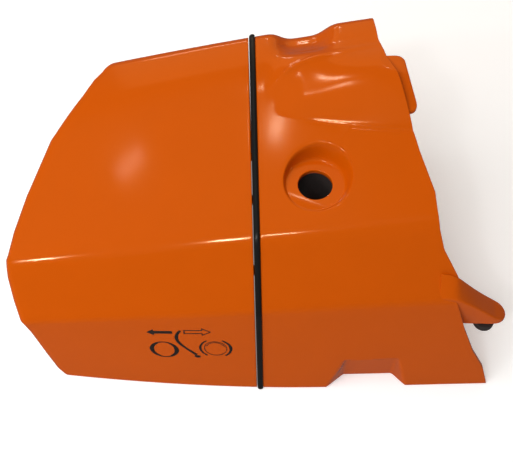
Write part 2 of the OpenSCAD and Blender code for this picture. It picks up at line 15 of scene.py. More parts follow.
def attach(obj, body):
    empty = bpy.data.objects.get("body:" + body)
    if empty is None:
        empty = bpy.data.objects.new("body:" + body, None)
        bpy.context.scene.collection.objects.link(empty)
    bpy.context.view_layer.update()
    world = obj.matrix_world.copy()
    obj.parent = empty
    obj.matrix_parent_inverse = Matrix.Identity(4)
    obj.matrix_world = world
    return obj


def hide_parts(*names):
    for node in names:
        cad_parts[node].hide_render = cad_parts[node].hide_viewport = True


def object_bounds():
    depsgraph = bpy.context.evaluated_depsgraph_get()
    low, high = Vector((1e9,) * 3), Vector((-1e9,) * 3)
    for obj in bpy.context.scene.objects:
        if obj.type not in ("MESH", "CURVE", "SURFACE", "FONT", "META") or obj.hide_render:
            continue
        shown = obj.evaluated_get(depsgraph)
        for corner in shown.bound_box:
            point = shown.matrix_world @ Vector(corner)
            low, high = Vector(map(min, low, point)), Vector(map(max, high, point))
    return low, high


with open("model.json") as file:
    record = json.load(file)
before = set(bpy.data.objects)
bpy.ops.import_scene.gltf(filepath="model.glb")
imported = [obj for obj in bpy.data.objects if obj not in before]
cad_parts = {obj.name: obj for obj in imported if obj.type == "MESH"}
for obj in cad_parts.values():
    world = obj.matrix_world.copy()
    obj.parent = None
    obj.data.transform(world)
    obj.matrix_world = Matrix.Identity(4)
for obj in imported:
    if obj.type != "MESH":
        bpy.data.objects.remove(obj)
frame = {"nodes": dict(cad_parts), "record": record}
cad_box = [list(v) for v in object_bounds()]

MM = 0.001
BOX_MM = np.array(cad_box) * 1000
JOINT_X = 1.4
WALL = 2.5
AXIS_Y = -4.0
AXIS_Z = 38.0


# ---- Section of the shells ----
def narrowing(u, k):
    """How far a rim or crease moves inward; it grows towards the rear."""
    return k * np.maximum(0, 32 - u) ** 1.8


def crest(z, slope, sag, u):
    """Height of a crease at u."""
    return z + slope * u - sag * u * u


def corners(u):
    """Six corners (y, z) of the section at each u."""
    u = np.asarray(u, float)
    zero = 0 * u
    return np.stack([
        np.stack([-68.3 + narrowing(u, 0.00156), zero], -1),
        np.stack([-55 + narrowing(u, 0.00076), crest(58.2, 0.112, 0.00035, u)], -1),
        np.stack([-31.5 + 0.00018 * (u - 3) ** 2, crest(83.2, 0.147, 0.0004, u)], -1),
        np.stack([44.4 + 0.066 * u, crest(104.7, 0.167, 0.00035, u)], -1),
        np.stack([63.9 + 0.04 * u, crest(104.2, 0.167, 0.00035, u)], -1),
        np.stack([68.3 - narrowing(u, 0.00156), zero], -1),
    ], -2)


# Share of the stretch before and after each corner that its rounding takes
BEFORE = np.array([0, 0.045, 0.11, 0.22, 0.3, 0])
AFTER = np.array([0, 0.075, 0.05, 0.55, 0.06, 0])


def inset(c, d):
    """Corners moved inward by d, with both rim corners kept on z = 0."""
    d = np.asarray(d, float) + np.zeros(c.shape[:-2])
    out = c.copy()
    side = c[..., 1:, :] - c[..., :-1, :]
    side = side / np.linalg.norm(side, axis=-1, keepdims=True)
    normal = np.stack([side[..., 1], -side[..., 0]], -1)
    for i in range(1, 5):
        a = normal[..., i - 1, :]
        b = normal[..., i, :]
        dot = (a * b).sum(-1, keepdims=True)
        out[..., i, :] += d[..., None] * (a + b) / (1 + dot)
    out[..., 0, 0] += d / normal[..., 0, 0]
    out[..., 5, 0] += d / normal[..., 4, 0]
    return out


def along(c, t):
    i = np.clip(np.floor(t).astype(int), 0, 4)
    row = np.arange(len(t))
    return c[row, i] + (t - i)[:, None] * (c[row, i + 1] - c[row, i])


def section(u, t, d):
    """Point (y, z) of the section at t, with a quadratic curve round each corner."""
    shape = np.broadcast(u, t, d).shape
    u, t, d = [np.broadcast_to(np.asarray(q, float), shape).ravel() for q in (u, t, d)]
    c = inset(corners(u), d)
    near = np.rint(t).astype(int)
    before = BEFORE[near]
    after = AFTER[near]
    bent = (before > 0) & (t > near - before) & (t < near + after)
    k = np.where(bent, (t - near + before) / np.maximum(before + after, 1e-9), 0)[:, None]
    start = along(c, near - before)
    end = along(c, np.minimum(near + after, 5))
    curve = (1 - k) ** 2 * start + 2 * k * (1 - k) * c[np.arange(len(t)), near] + k * k * end
    p = np.where(bent[:, None], curve, along(c, t))
    return p[:, 0].reshape(shape), p[:, 1].reshape(shape)


def ramp(x, a, b):
    k = np.clip((x - a) / (b - a), 0, 1)
    return k * k * (3 - 2 * k)


def smooth_min(a, b, k):
    h = np.maximum(k - np.abs(a - b), 0) / k
    return np.minimum(a, b) - h * h * k / 4


def smooth_max(a, b, k):
    return -smooth_min(-a, -b, k)


NOSE_U = 12
CROWN_H = 4.4
RIDGE_H = 2.5
CROWN_WIDTH = 19
RIB_H = 0.4
GROOVE_D = 0.3


def rise(u, y):
    """Cone-shaped rise in the roof: near flank, crown, low ridge with a rib, then the far shoulder."""
    v = u - NOSE_U
    near = 19.6 - 0.28 * v + 0.0014 * v * v
    edge = 44.4 + 0.066 * u
    ridge = edge - 8.4 * np.exp(-v / 14)
    far = edge + 5
    top = CROWN_H * (0.35 * ramp(u, 9, 22) + 0.65 * ramp(u, 15, 62))
    width = smooth_min(smooth_min(3 + 5 * top, 0.6 * (ridge - near), 4), CROWN_WIDTH, 4)
    crown = near + width
    low = RIDGE_H * ramp(u, 5, 18) * (1 - 0.88 * ramp(u, 18, 56))
    s = np.clip((y - near) / width, 0, 1)
    k = (y - crown) / (ridge - crown)
    flank = top * (1 - (1 - s) ** 2)
    back = top + (low - top) * k * k
    tail = low * np.clip((far - y) / (far - ridge), 0, 1)
    rib = RIB_H * ramp(u, 10, 16) * np.exp(-((y - ridge) / 1.0) ** 2)
    groove = GROOVE_D * ramp(u, 18, 30) * np.exp(-((y - near + 0.5) / 0.9) ** 2)
    return np.where(y < crown, flank, np.where(y < ridge, back, tail)) + rib - groove


SCOOP_U = 23
SCOOP_HALF = 11
SCOOP_DEPTH = 5.5


def scoop(u, y):
    """Scoop across the far shoulder."""
    return SCOOP_DEPTH * np.exp(-((u - SCOOP_U) / SCOOP_HALF) ** 4) * ramp(y, 45, 58)


def roof_z(u, y, d):
    """Height of the roof at a place between corners 2 and 3, moved in by d, without rounding."""
    c = inset(corners(u), d)
    share = (y - c[..., 2, 0]) / (c[..., 3, 0] - c[..., 2, 0])
    return c[..., 2, 1] + share * (c[..., 3, 1] - c[..., 2, 1]) + rise(u, y)


def steps(a, b, n):
    return [a + (b - a) * k / n for k in range(n)]


# Places along a section where the mesh has a line, closer where the surface bends
T = np.array(
    steps(0, 0.40, 28) + steps(0.40, 0.955, 26) + steps(0.955, 1.075, 8) + steps(1.075, 1.89, 22)
    + steps(1.89, 2.05, 8) + steps(2.05, 2.45, 24) + steps(2.45, 2.75, 34) + steps(2.75, 2.85, 6)
    + steps(2.85, 3.04, 20) + steps(3.04, 3.55, 18) + steps(3.55, 3.70, 4)
    + steps(3.70, 4.06, 12) + steps(4.06, 5, 34) + [5.0]
)


# ---- Mesh helpers ----
BEVEL_FROM = math.radians(50)
SHARP_FROM = math.radians(62)


class Builder:
    """Collects points in millimetres and faces. Sharp edges of strip faces are rounded at the end."""

    def __init__(self):
        self.points = []
        self.faces = []
        self.strips = set()

    def add(self, p):
        """Adds points of any grid shape, kept inside the CAD box, and returns their numbers."""
        p = np.clip(np.asarray(p, float), BOX_MM[0], BOX_MM[1])
        first = len(self.points)
        flat = p.reshape(-1, 3)
        self.points.extend(flat.tolist())
        return np.arange(first, first + len(flat)).reshape(p.shape[:-1])

    def face(self, ids, strip=False):
        ids = [int(i) for i in ids]
        if strip:
            self.strips.add(len(self.faces))
        self.faces.append(ids)

    def grid(self, ids, keep=None):
        for i in range(ids.shape[0] - 1):
            for j in range(ids.shape[1] - 1):
                if keep is None or keep(i, j):
                    self.face([ids[i, j], ids[i, j + 1], ids[i + 1, j + 1], ids[i + 1, j]])

    def band(self, a, b, closed=False, strip=False):
        n = len(a)
        for k in range(n if closed else n - 1):
            m = (k + 1) % n
            self.face([a[k], a[m], b[m], b[k]], strip)

    def rings(self, loop, stack):
        """Joins a closed loop to each closed ring of points in turn, and returns the last ring."""
        last = loop
        for ring in stack:
            ids = self.add(ring)
            self.band(last, ids, closed=True)
            last = ids
        return last

    def build(self, name, body, slot, replaced, edge=0.35):
        """Makes the object: merged points, edges rounded by edge (mm), its body, slot and material."""
        mesh = bpy.data.meshes.new(name)
        mesh.from_pydata([[q * MM for q in p] for p in self.points], [], self.faces)
        bm = bmesh.new()
        bm.from_mesh(mesh)
        bm.faces.ensure_lookup_table()
        for k in self.strips:
            bm.faces[k].material_index = 1
        bmesh.ops.remove_doubles(bm, verts=bm.verts, dist=2e-6)
        bmesh.ops.dissolve_degenerate(bm, edges=bm.edges, dist=1e-6)
        bmesh.ops.recalc_face_normals(bm, faces=bm.faces)
        chosen = [
            e for e in bm.edges
            if len(e.link_faces) == 2 and max(f.material_index for f in e.link_faces) == 1
            and e.calc_face_angle(0) > BEVEL_FROM
        ]
        if chosen and edge:
            bmesh.ops.bevel(bm, geom=chosen, offset=edge * MM, offset_type="OFFSET", segments=3,
                            profile=0.5, affect="EDGES", clamp_overlap=False)
        for f in bm.faces:
            f.material_index = 0
        bm.to_mesh(mesh)
        bm.free()
        mesh.polygons.foreach_set("use_smooth", [True] * len(mesh.polygons))
        mesh.set_sharp_from_angle(angle=SHARP_FROM)
        piece = bpy.data.objects.new(name, mesh)
        bpy.context.scene.collection.objects.link(piece)
        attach(piece, body)
        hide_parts(replaced)
        piece.data.materials.append(materials[slot])


# ---- Materials ----
# Pointiness at which an edge starts to look worn and is fully worn, and how much wear shows
WORN_FROM = 0.54
WORN_FULL = 0.62
WORN_SHARE = 0.35


def node(tree, kind, **values):
    n = tree.nodes.new(kind)
    for key, value in values.items():
        if hasattr(n, key):
            setattr(n, key, value)
        else:
            n.inputs[key.replace("_", " ")].default_value = value
    return n


def finish_material(slot, color, rough, spread, grain, bump, metal=0.0, blotch=0.04, coat=0.0,
                    stretch=(1, 1, 1), sheen=0.0, specular=0.5, tint_b=1.0):
    """A surface with blotchy colour, uneven gloss, a fine grain and worn edges.

    grain is the scale of the fine bumps, stretch draws them out for brushed metal, and tint_b is the
    blue of the reflection's tint.
    """
    m = bpy.data.materials.new("mat_" + slot)
    m.use_nodes = True
    t = m.node_tree
    link = t.links.new
    shader = t.nodes["Principled BSDF"]
    place = node(t, "ShaderNodeTexCoord")
    mapping = node(t, "ShaderNodeMapping")
    mapping.inputs["Scale"].default_value = stretch
    link(place.outputs["Object"], mapping.inputs["Vector"])
    broad = node(t, "ShaderNodeTexNoise", Scale=60.0, Detail=4.0, Roughness=0.6)
    fine = node(t, "ShaderNodeTexNoise", Scale=grain, Detail=5.0, Roughness=0.55)
    marks = node(t, "ShaderNodeTexNoise", Scale=320.0, Detail=8.0, Roughness=0.75)
    for tex in (broad, fine, marks):
        link(mapping.outputs["Vector"], tex.inputs["Vector"])
    tint = node(t, "ShaderNodeMix", data_type="RGBA")
    tint.inputs["A"].default_value = [c * (1 - blotch) for c in color] + [1]
    tint.inputs["B"].default_value = [min(1, c * (1 + blotch)) for c in color] + [1]
    link(broad.outputs["Fac"], tint.inputs["Factor"])
    worn = node(t, "ShaderNodeMix", data_type="RGBA")
    geometry = node(t, "ShaderNodeNewGeometry")
    edge = node(t, "ShaderNodeMapRange")
    edge.inputs["From Min"].default_value = WORN_FROM
    edge.inputs["From Max"].default_value = WORN_FULL
    link(geometry.outputs["Pointiness"], edge.inputs["Value"])
    amount = node(t, "ShaderNodeMath", operation="MULTIPLY")
    link(edge.outputs["Result"], amount.inputs[0])
    link(marks.outputs["Fac"], amount.inputs[1])
    less = node(t, "ShaderNodeMath", operation="MULTIPLY")
    less.inputs[1].default_value = WORN_SHARE
    link(amount.outputs[0], less.inputs[0])
    worn.inputs["B"].default_value = [min(1, c * 1.35 + 0.03) for c in color] + [1]
    link(tint.outputs["Result"], worn.inputs["A"])
    link(less.outputs[0], worn.inputs["Factor"])
    link(worn.outputs["Result"], shader.inputs["Base Color"])
    gloss = node(t, "ShaderNodeMapRange")
    gloss.inputs["To Min"].default_value = rough - spread
    gloss.inputs["To Max"].default_value = rough + spread
    link(marks.outputs["Fac"], gloss.inputs["Value"])
    link(gloss.outputs["Result"], shader.inputs["Roughness"])
    relief = node(t, "ShaderNodeBump", Strength=bump, Distance=0.0002)
    link(fine.outputs["Fac"], relief.inputs["Height"])
    link(relief.outputs["Normal"], shader.inputs["Normal"])
    shader.inputs["Metallic"].default_value = metal
    shader.inputs["Coat Weight"].default_value = coat
    shader.inputs["Coat Roughness"].default_value = 0.08
    shader.inputs["Sheen Weight"].default_value = sheen
    shader.inputs["Specular IOR Level"].default_value = specular
    shader.inputs["Specular Tint"].default_value = (1, 0.5 + 0.5 * tint_b, tint_b, 1)
    return m


materials = {
    "orange_shell": finish_material("orange_shell", (0.58, 0.086, 0.0004), 0.11, 0.02, 900, 0.04,
                                    blotch=0.03, coat=0.22, specular=0.45, tint_b=0.25),
    "seal_rubber": finish_material("seal_rubber", (0.007, 0.007, 0.007), 0.3, 0.05, 1500, 0.12,
                                   specular=0.3),
    "print_ink": finish_material("print_ink", (0.012, 0.006, 0.003), 0.42, 0.05, 1200, 0.1),
    # bush_rubber: near-black for the rubber bush under the leg. Its darkness is partly painted shade,
    # standing for the shadow on the leg's orange peg.
    "bush_rubber": finish_material("bush_rubber", (0.03, 0.022, 0.02), 0.6, 0.08, 1500, 0.3),
    "black_plastic": finish_material("black_plastic", (0.022, 0.022, 0.024), 0.5, 0.06, 2200, 0.35),
    "grey_plastic": finish_material("grey_plastic", (0.2, 0.2, 0.21), 0.48, 0.06, 2200, 0.35),
    "knob_plastic": finish_material("knob_plastic", (0.028, 0.028, 0.03), 0.42, 0.07, 2600, 0.5),
    "manifold_rubber": finish_material("manifold_rubber", (0.03, 0.03, 0.031), 0.62, 0.08, 1500, 0.3),
    "gasket_fibre": finish_material("gasket_fibre", (0.25, 0.27, 0.25), 0.85, 0.08, 1800, 0.7,
                                    blotch=0.15, sheen=0.2),
    "filter_rubber": finish_material("filter_rubber", (0.1, 0.1, 0.1), 0.66, 0.08, 1500, 0.3),
    "filter_felt": finish_material("filter_felt", (0.7, 0.66, 0.54), 0.95, 0.05, 2600, 0.9,
                                   blotch=0.1, sheen=0.4),
    "perforated_steel": finish_material("perforated_steel", (0.55, 0.56, 0.57), 0.34, 0.08, 500, 0.2,
                                        metal=1.0, stretch=(1, 1, 12)),
    "zinc_steel": finish_material("zinc_steel", (0.6, 0.61, 0.6), 0.3, 0.08, 900, 0.2, metal=1.0,
                                  blotch=0.1, stretch=(6, 1, 1)),
    "brass": finish_material("brass", (0.72, 0.5, 0.2), 0.28, 0.07, 900, 0.2, metal=1.0, blotch=0.08,
                             stretch=(6, 1, 1)),
}

# ---- Engine shroud ----
# Front edge: place along the section and distance from the joint
FRONT_REACH = np.array([
    [0, 109], [0.2, 105], [0.41, 98], [0.69, 91], [1, 84.5], [1.3, 84.5], [1.65, 78], [1.9, 75.8],
    [2.15, 74.6], [2.37, 69.6], [3, 58], [3.3, 55.5], [4, 54], [4.4, 61], [4.8, 76], [5, 88]
])
SHROUD_FROM = 1.35
SHROUD_LINES = 96
PORT_U = 25.5
PORT_Y = -9.5
PORT_FLOOR = 89.0
PORT_FLOOR_R = 13.0
PORT_UNDER_R = 16.0
PORT_HOLE_R = 7.4
PORT_SLOPE = 3.16
PORT_LEAN = 1.4
PORT_EDGE = 1.4
ALCOVE_TOP = 22.3
ALCOVE_BACK = -62.0
ALCOVE_LEFT = 31.8
ALCOVE_RIGHT = 69.6
ALCOVE_BACK_LEFT = 40.3
ALCOVE_BACK_RIGHT = 63.7


def alcove(u, y, z, grow):
    """Pushes the near wall back inside the alcove, to a vertical back wall with slanting cheeks."""
    back = ALCOVE_BACK + grow
    low = np.clip(z, 0, 22) / 22
    left = ALCOVE_LEFT + 7.5 * low
    right = ALCOVE_RIGHT - 5.4 * low
    a = (u - left + grow) / (ALCOVE_BACK_LEFT - left)
    b = (right + grow - u) / np.maximum(right - ALCOVE_BACK_RIGHT, 0.5)
    c = (ALCOVE_TOP + grow - z) / 0.9
    share = np.clip(smooth_min(smooth_min(a, b, 0.25), c, 0.25), 0, 1)
    return np.where(y < back, y + (back - y) * share, y)


def shroud_grid(d):
    v = np.linspace(0, 1, SHROUD_LINES + 1)[:, None]
    t = T[None, :]
    reach = np.interp(T, FRONT_REACH[:, 0], FRONT_REACH[:, 1])[None, :]
    u = SHROUD_FROM + v * (reach - SHROUD_FROM)
    t = t + 0 * u
    y, z = section(u, t, d)
    fade = ramp(t, 1.4, 1.6) * (1 - ramp(t, 4.15, 4.6))
    z = z + (rise(u, y) - scoop(u, y)) * fade
    y = np.where(t < 1, alcove(u, y, z, d), y)
    return np.stack([JOINT_X + u, y, z], -1)


def block_loop(ids, i0, i1, j0, j1):
    """The closed loop of point numbers round a block of a grid."""
    side_a = [ids[i0, j] for j in range(j0, j1)]
    side_b = [ids[i, j1] for i in range(i0, i1)]
    side_c = [ids[i1, j] for j in range(j1, j0, -1)]
    side_d = [ids[i, j0] for i in range(i1, i0, -1)]
    return np.array(side_a + side_b + side_c + side_d)


def even_angles(angle):
    """Evenly spaced angles that start at the first angle and turn the same way."""
    open_angle = np.unwrap(angle)
    turn = np.sign(open_angle[-1] - open_angle[0])
    even = open_angle[0] + turn * 2 * np.pi * np.arange(len(angle)) / len(angle)
    shift = (open_angle - even).mean()
    return open_angle, even + shift


def port_rings(b, loop, upper):
    """Rings of points from the roof down into the valve dish, or its underside, to the hole."""
    p = np.array([b.points[i] for i in loop])
    du = p[:, 0] - JOINT_X - PORT_U
    dy = p[:, 1] - PORT_Y
    radius = np.hypot(du, dy)
    angle, even = even_angles(np.arctan2(dy, du))
    d = 0 if upper else WALL
    foot_r = PORT_FLOOR_R if upper else PORT_UNDER_R
    floor = PORT_FLOOR if upper else PORT_FLOOR - WALL
    mouth = np.full(len(angle), 15.0)
    for _ in range(25):
        roof = roof_z(PORT_U + mouth * np.cos(angle), PORT_Y + mouth * np.sin(angle), d)
        mouth = foot_r + np.maximum(0, roof - floor) / PORT_SLOPE
    outer = mouth + PORT_EDGE
    stack = []
    for share in (0.4, 0.75):
        stack.append((radius + share * (outer - radius), 0.1 * share))
    for k in range(9):
        stack.append((mouth + PORT_EDGE - 0.25 * k, 0.1 + 0.02 * k))
    tight = mouth - 0.6
    inner = foot_r - 1.2
    for k in range(1, 11):
        stack.append((tight + (inner - tight) * k / 10, 0.3 + 0.04 * k))
    for k in range(1, 9):
        stack.append((inner + (PORT_HOLE_R - inner) * k / 8, 0.7 + 0.3 * k / 8))
    rings = []
    for r, turn in stack:
        a = angle + (even - angle) * turn
        u = PORT_U + r * np.cos(a)
        y = PORT_Y + r * np.sin(a)
        cone = floor + (r - foot_r) * PORT_SLOPE
        z = smooth_min(roof_z(u, y, d), smooth_max(cone, floor + 0 * cone, 2.4), 2.0)
        u = u + PORT_LEAN * np.clip((z - floor) / 9, 0, 1) * (r < mouth + 1)
        rings.append(np.stack([JOINT_X + u, y, z], -1))
    return rings


def tube(b, centre, axis, r_out, r_in, length, n=40):
    """A boss with a hole along X or Y."""
    angle = 2 * np.pi * np.arange(n) / n
    loops = []
    for r, s in ((r_in, 0), (r_out, 0), (r_out, length), (r_in, length)):
        if axis == "x":
            p = np.stack([0 * angle + s, r * np.cos(angle), r * np.sin(angle)], -1)
        else:
            p = np.stack([r * np.cos(angle), 0 * angle + s, r * np.sin(angle)], -1)
        loops.append(b.add(p + np.array(centre)))
    for k in range(4):
        b.band(loops[k], loops[(k + 1) % 4], closed=True, strip=True)


def shroud():
    b = Builder()
    outer_p = shroud_grid(0)
    inner_p = shroud_grid(WALL)
    outer = b.add(outer_p)
    inner = b.add(inner_p)
    j0 = int(np.searchsorted(T, 2.06))
    j1 = int(np.searchsorted(T, 2.56))
    i0 = int(0.07 * SHROUD_LINES)
    i1 = int(0.62 * SHROUD_LINES)

    def outside(i, j):
        return not (i0 <= i < i1 and j0 <= j < j1)

    b.grid(outer, outside)
    b.grid(inner, outside)
    loop = block_loop(outer, i0, i1, j0, j1)
    top = b.rings(loop, port_rings(b, loop, True))
    loop = block_loop(inner, i0, i1, j0, j1)
    under = b.rings(loop, port_rings(b, loop, False))
    b.band(top, under, closed=True, strip=True)
    for edge in (0, SHROUD_LINES):
        b.band(outer[edge], inner[edge], strip=True)
    for side in (0, len(T) - 1):
        b.band(outer[:, side], inner[:, side], strip=True)
    b.build("shroud_shell", "shroud", "orange_shell", "engine_shroud")


shroud()


# Places (y, z) of the bosses for the plate screws, and (u, z) of those for the sleeves
SCREW_BOSSES = ((-55.1, 26), (60.2, 20), (-24.5, 78.5), (57.5, 93))
SLEEVE_BOSSES = ((34, 16), (72, 14))


def boss_set():
    b = Builder()
    for y, z in SCREW_BOSSES:
        tube(b, (JOINT_X + 6.5, y, z), "x", 5.0, 1.92, 14)
    for u, z in SLEEVE_BOSSES:
        tube(b, (JOINT_X + u, 48, z), "y", 7.5, 5.02, 16.5)
    b.build("shroud_bosses", "shroud", "orange_shell", "engine_shroud", edge=0.3)


boss_set()

# Leg: u, near y, far y, top z on the near side, top z on the far side, bottom z
LEG = np.array([
    [77, -54.0, -46.6, 65.5, 76.0, 44.5],
    [81, -54.5, -47.1, 66.4, 75.6, 43.9],
    [84.4, -54.95, -47.7, 66.3, 74.0, 43.5],
    [88.5, -55.5, -47.5, 63.9, 68.8, 43.4],
    [92.9, -55.9, -47.4, 60.6, 63.2, 43.4],
    [98, -56.4, -47.4, 56.2, 57.4, 44.0],
    [103.5, -57.0, -47.5, 51.6, 51.8, 44.8],
    [106.5, -56.8, -48.2, 49.5, 49.6, 45.3],
    [108.4, -55.6, -49.4, 48.2, 48.2, 45.6],
    [109.3, -53.8, -51.2, 47.6, 47.5, 45.9],
])


def spline(table, x):
    """Smooth curve through the rows of a table, by its first column."""
    out = []
    n = len(table)
    slopes = np.zeros_like(table)
    for i in range(n):
        a = max(0, i - 1)
        c = min(n - 1, i + 1)
        slopes[i] = (table[c] - table[a]) / (table[c, 0] - table[a, 0])
    for q in x:
        i = int(np.clip(np.searchsorted(table[:, 0], q) - 1, 0, n - 2))
        h = table[i + 1, 0] - table[i, 0]
        s = (q - table[i, 0]) / h
        row = ((2 * s ** 3 - 3 * s ** 2 + 1) * table[i] + (s ** 3 - 2 * s ** 2 + s) * h * slopes[i]
               + (3 * s ** 2 - 2 * s ** 3) * table[i + 1] + (s ** 3 - s ** 2) * h * slopes[i + 1])
        out.append(row)
    return np.array(out)


def rounded_quad(first, second, third, fourth, radius, n=5):
    """Points round a four-sided outline with rounded corners."""
    quad = [np.array(q, float) for q in (first, second, third, fourth)]
    out = []
    for k in range(4):
        p = quad[k]
        before = quad[k - 1] - p
        after = quad[(k + 1) % 4] - p
        r = min(radius, 0.4 * np.linalg.norm(before), 0.4 * np.linalg.norm(after))
        s = p + before / np.linalg.norm(before) * r
        e = p + after / np.linalg.norm(after) * r
        for m in range(n + 1):
            w = m / n
            out.append((1 - w) ** 2 * s + 2 * w * (1 - w) * p + w * w * e)
    return np.array(out)


def leg():
    b = Builder()
    places = np.concatenate([np.linspace(77, 103.5, 40), np.linspace(104, 109.3, 12)])
    last = None
    for u, near, far, high_near, high_far, low in spline(LEG, places):
        ring = rounded_quad((near, low), (near, high_near), (far, high_far), (far, low), 1.1)
        p = np.stack([np.full(len(ring), JOINT_X + u), ring[:, 0], ring[:, 1]], -1)
        ids = b.add(p)
        if last is None:
            b.face(ids)
        else:
            b.band(last, ids, closed=True)
        last = ids
    b.face(last[::-1])
    b.build("shroud_leg", "shroud", "orange_shell", "engine_shroud", edge=0)


leg()

# Corners (u, y) of the tongue, the u whose rise it follows, and how far each ring grows and drops
TONGUE = ((52, 40.5), (64.4, 39), (69, 17), (57, 17))
TONGUE_U = 56
TONGUE_RINGS = ((-0.6, 1.4), (-0.18, 1.58), (0.0, 2.0), (0.0, 3.2), (-0.18, 3.62), (-0.6, 3.8))


def tongue():
    """Plate under the roof's front edge, with rounded corners and edges."""
    b = Builder()
    outline = rounded_quad(*TONGUE, 3.0, n=8)
    away = outline - outline.mean(0)
    away = away / np.linalg.norm(away, axis=1, keepdims=True)
    loops = []
    for grow, drop in TONGUE_RINGS:
        p = outline + away * (1.5 + grow)
        u = p[:, 0]
        y = p[:, 1]
        z = roof_z(u, y, 0) - rise(u, y) + rise(TONGUE_U + 0 * u, y) - drop
        loops.append(b.add(np.stack([JOINT_X + u, y, z], -1)))
    for a, c in zip(loops, loops[1:]):
        b.band(a, c, closed=True)
    b.face(loops[0])
    b.face(loops[-1][::-1])
    b.build("shroud_tongue", "shroud", "orange_shell", "engine_shroud", edge=0)


tongue()

# ---- Filter cover ----
# Rear outline: place along the section and distance from the joint
REAR_REACH = np.array([
    [0, -96.5], [0.1, -98.8], [0.4, -101.9], [0.8, -105.5], [1, -108.2], [1.35, -110.4], [1.75, -112.1],
    [2, -112.2], [2.2, -109], [2.43, -103.6], [2.7, -95.4], [2.85, -90.8], [3, -86.8], [3.3, -78.9],
    [3.6, -72.9], [4, -65.2], [5, -48]
])
COVER_FROM = -1.65
COVER_LINES = 80
BEND_LINES = 6
REAR_ROWS = 50
SEAT_U = -92.0
CUP_R = 17.5
TUBE_END_U = -76.0
SHANK_HOLE_R = 6.06
CUP_BLOCK = 23.5


def cover_grid(d):
    """Skin of the cover from the joint to the rear, round the bend and down the rear wall."""
    reach = np.interp(T, REAR_REACH[:, 0], REAR_REACH[:, 1])
    bend_r = 3.0 if d == 0 else 1.0
    pull = 3.0 if d == 0 else 4.0
    rows = []
    for v in np.linspace(0, 1, COVER_LINES + 1):
        u = COVER_FROM + v * (reach - COVER_FROM) + pull * v
        rows.append((u, d + 0 * u))
    for k in range(1, BEND_LINES + 1):
        a = math.pi / 2 * k / BEND_LINES
        u = reach + pull - bend_r * math.sin(a)
        rows.append((u, d + bend_r * (1 - math.cos(a)) + 0 * u))
    grid = []
    for u, inward in rows:
        y, z = section(u, T, inward)
        grid.append(np.stack([JOINT_X + u, y, z], -1))
    outline = grid[-1]
    a = outline[0]
    c = outline[-1]
    foot_x = a[0] + (c[0] - a[0]) * (outline[:, 1] - a[1]) / (c[1] - a[1])
    feet = np.stack([foot_x, outline[:, 1], 0 * foot_x], -1)
    for k in range(1, REAR_ROWS + 1):
        grid.append(outline + (feet - outline) * k / REAR_ROWS)
    return np.array(grid), outline, feet


def rear_x(outline, feet, y, z):
    top_x = np.interp(y, outline[:, 1], outline[:, 0])
    top_z = np.interp(y, outline[:, 1], outline[:, 2])
    foot = np.interp(y, outline[:, 1], feet[:, 0])
    return foot + (top_x - foot) * z / top_z


def knob_rings(b, loop, outline, feet, outer):
    """Rings of points from the rear wall to the seat of the knob and its hole."""
    p = np.array([b.points[i] for i in loop])
    dy = p[:, 1] - AXIS_Y
    dz = p[:, 2] - AXIS_Z
    radius = np.hypot(dy, dz)
    angle, even = even_angles(np.arctan2(dz, dy))
    seat = JOINT_X + SEAT_U
    stack = []

    def ring(r, turn, level):
        a = angle + (even - angle) * turn
        y = AXIS_Y + r * np.cos(a)
        z = AXIS_Z + r * np.sin(a)
        wall = rear_x(outline, feet, y, z)
        x = level(wall)
        stack.append(np.stack([x, y, z], -1))

    def on_wall(wall):
        return wall

    def at_lip(wall):
        return smooth_min(wall, seat + 0 * wall, 0.6)

    out_r = CUP_R + WALL
    for share in (0.35, 0.7):
        ring(radius + share * (out_r + 0.5 - radius), 0.3 * share, on_wall)
    ring(out_r + 0.4 + 0 * radius, 0.35, on_wall)
    if outer:
        ring(out_r + 0.02 + 0 * radius, 0.4, on_wall)
        ring(out_r - 0.02 + 0 * radius, 0.4, lambda w: 0.08 * w + 0.92 * at_lip(w))
        ring(out_r - 0.35 + 0 * radius, 0.45, at_lip)
        ring(CUP_R + 0.35 + 0 * radius, 0.5, at_lip)
        ring(CUP_R + 0.02 + 0 * radius, 0.55, lambda w: 0.92 * at_lip(w) + 0.08 * seat)
        ring(CUP_R - 0.02 + 0 * radius, 0.6, lambda w: seat + 0 * w)
        floor = seat
    else:
        tube_end = JOINT_X + TUBE_END_U
        floor = seat + WALL
        ring(out_r + 0.02 + 0 * radius, 0.4, on_wall)
        ring(out_r - 0.02 + 0 * radius, 0.45, lambda w: tube_end + 0 * w)
        ring(CUP_R + 0.02 + 0 * radius, 0.55, lambda w: tube_end + 0 * w)
        ring(CUP_R - 0.02 + 0 * radius, 0.6, lambda w: floor + 0 * w)
    for k in range(1, 6):
        r = CUP_R + (SHANK_HOLE_R - CUP_R) * k / 5
        ring(r + 0 * radius, 0.6 + 0.08 * k, lambda w: floor + 0 * w)
    return stack


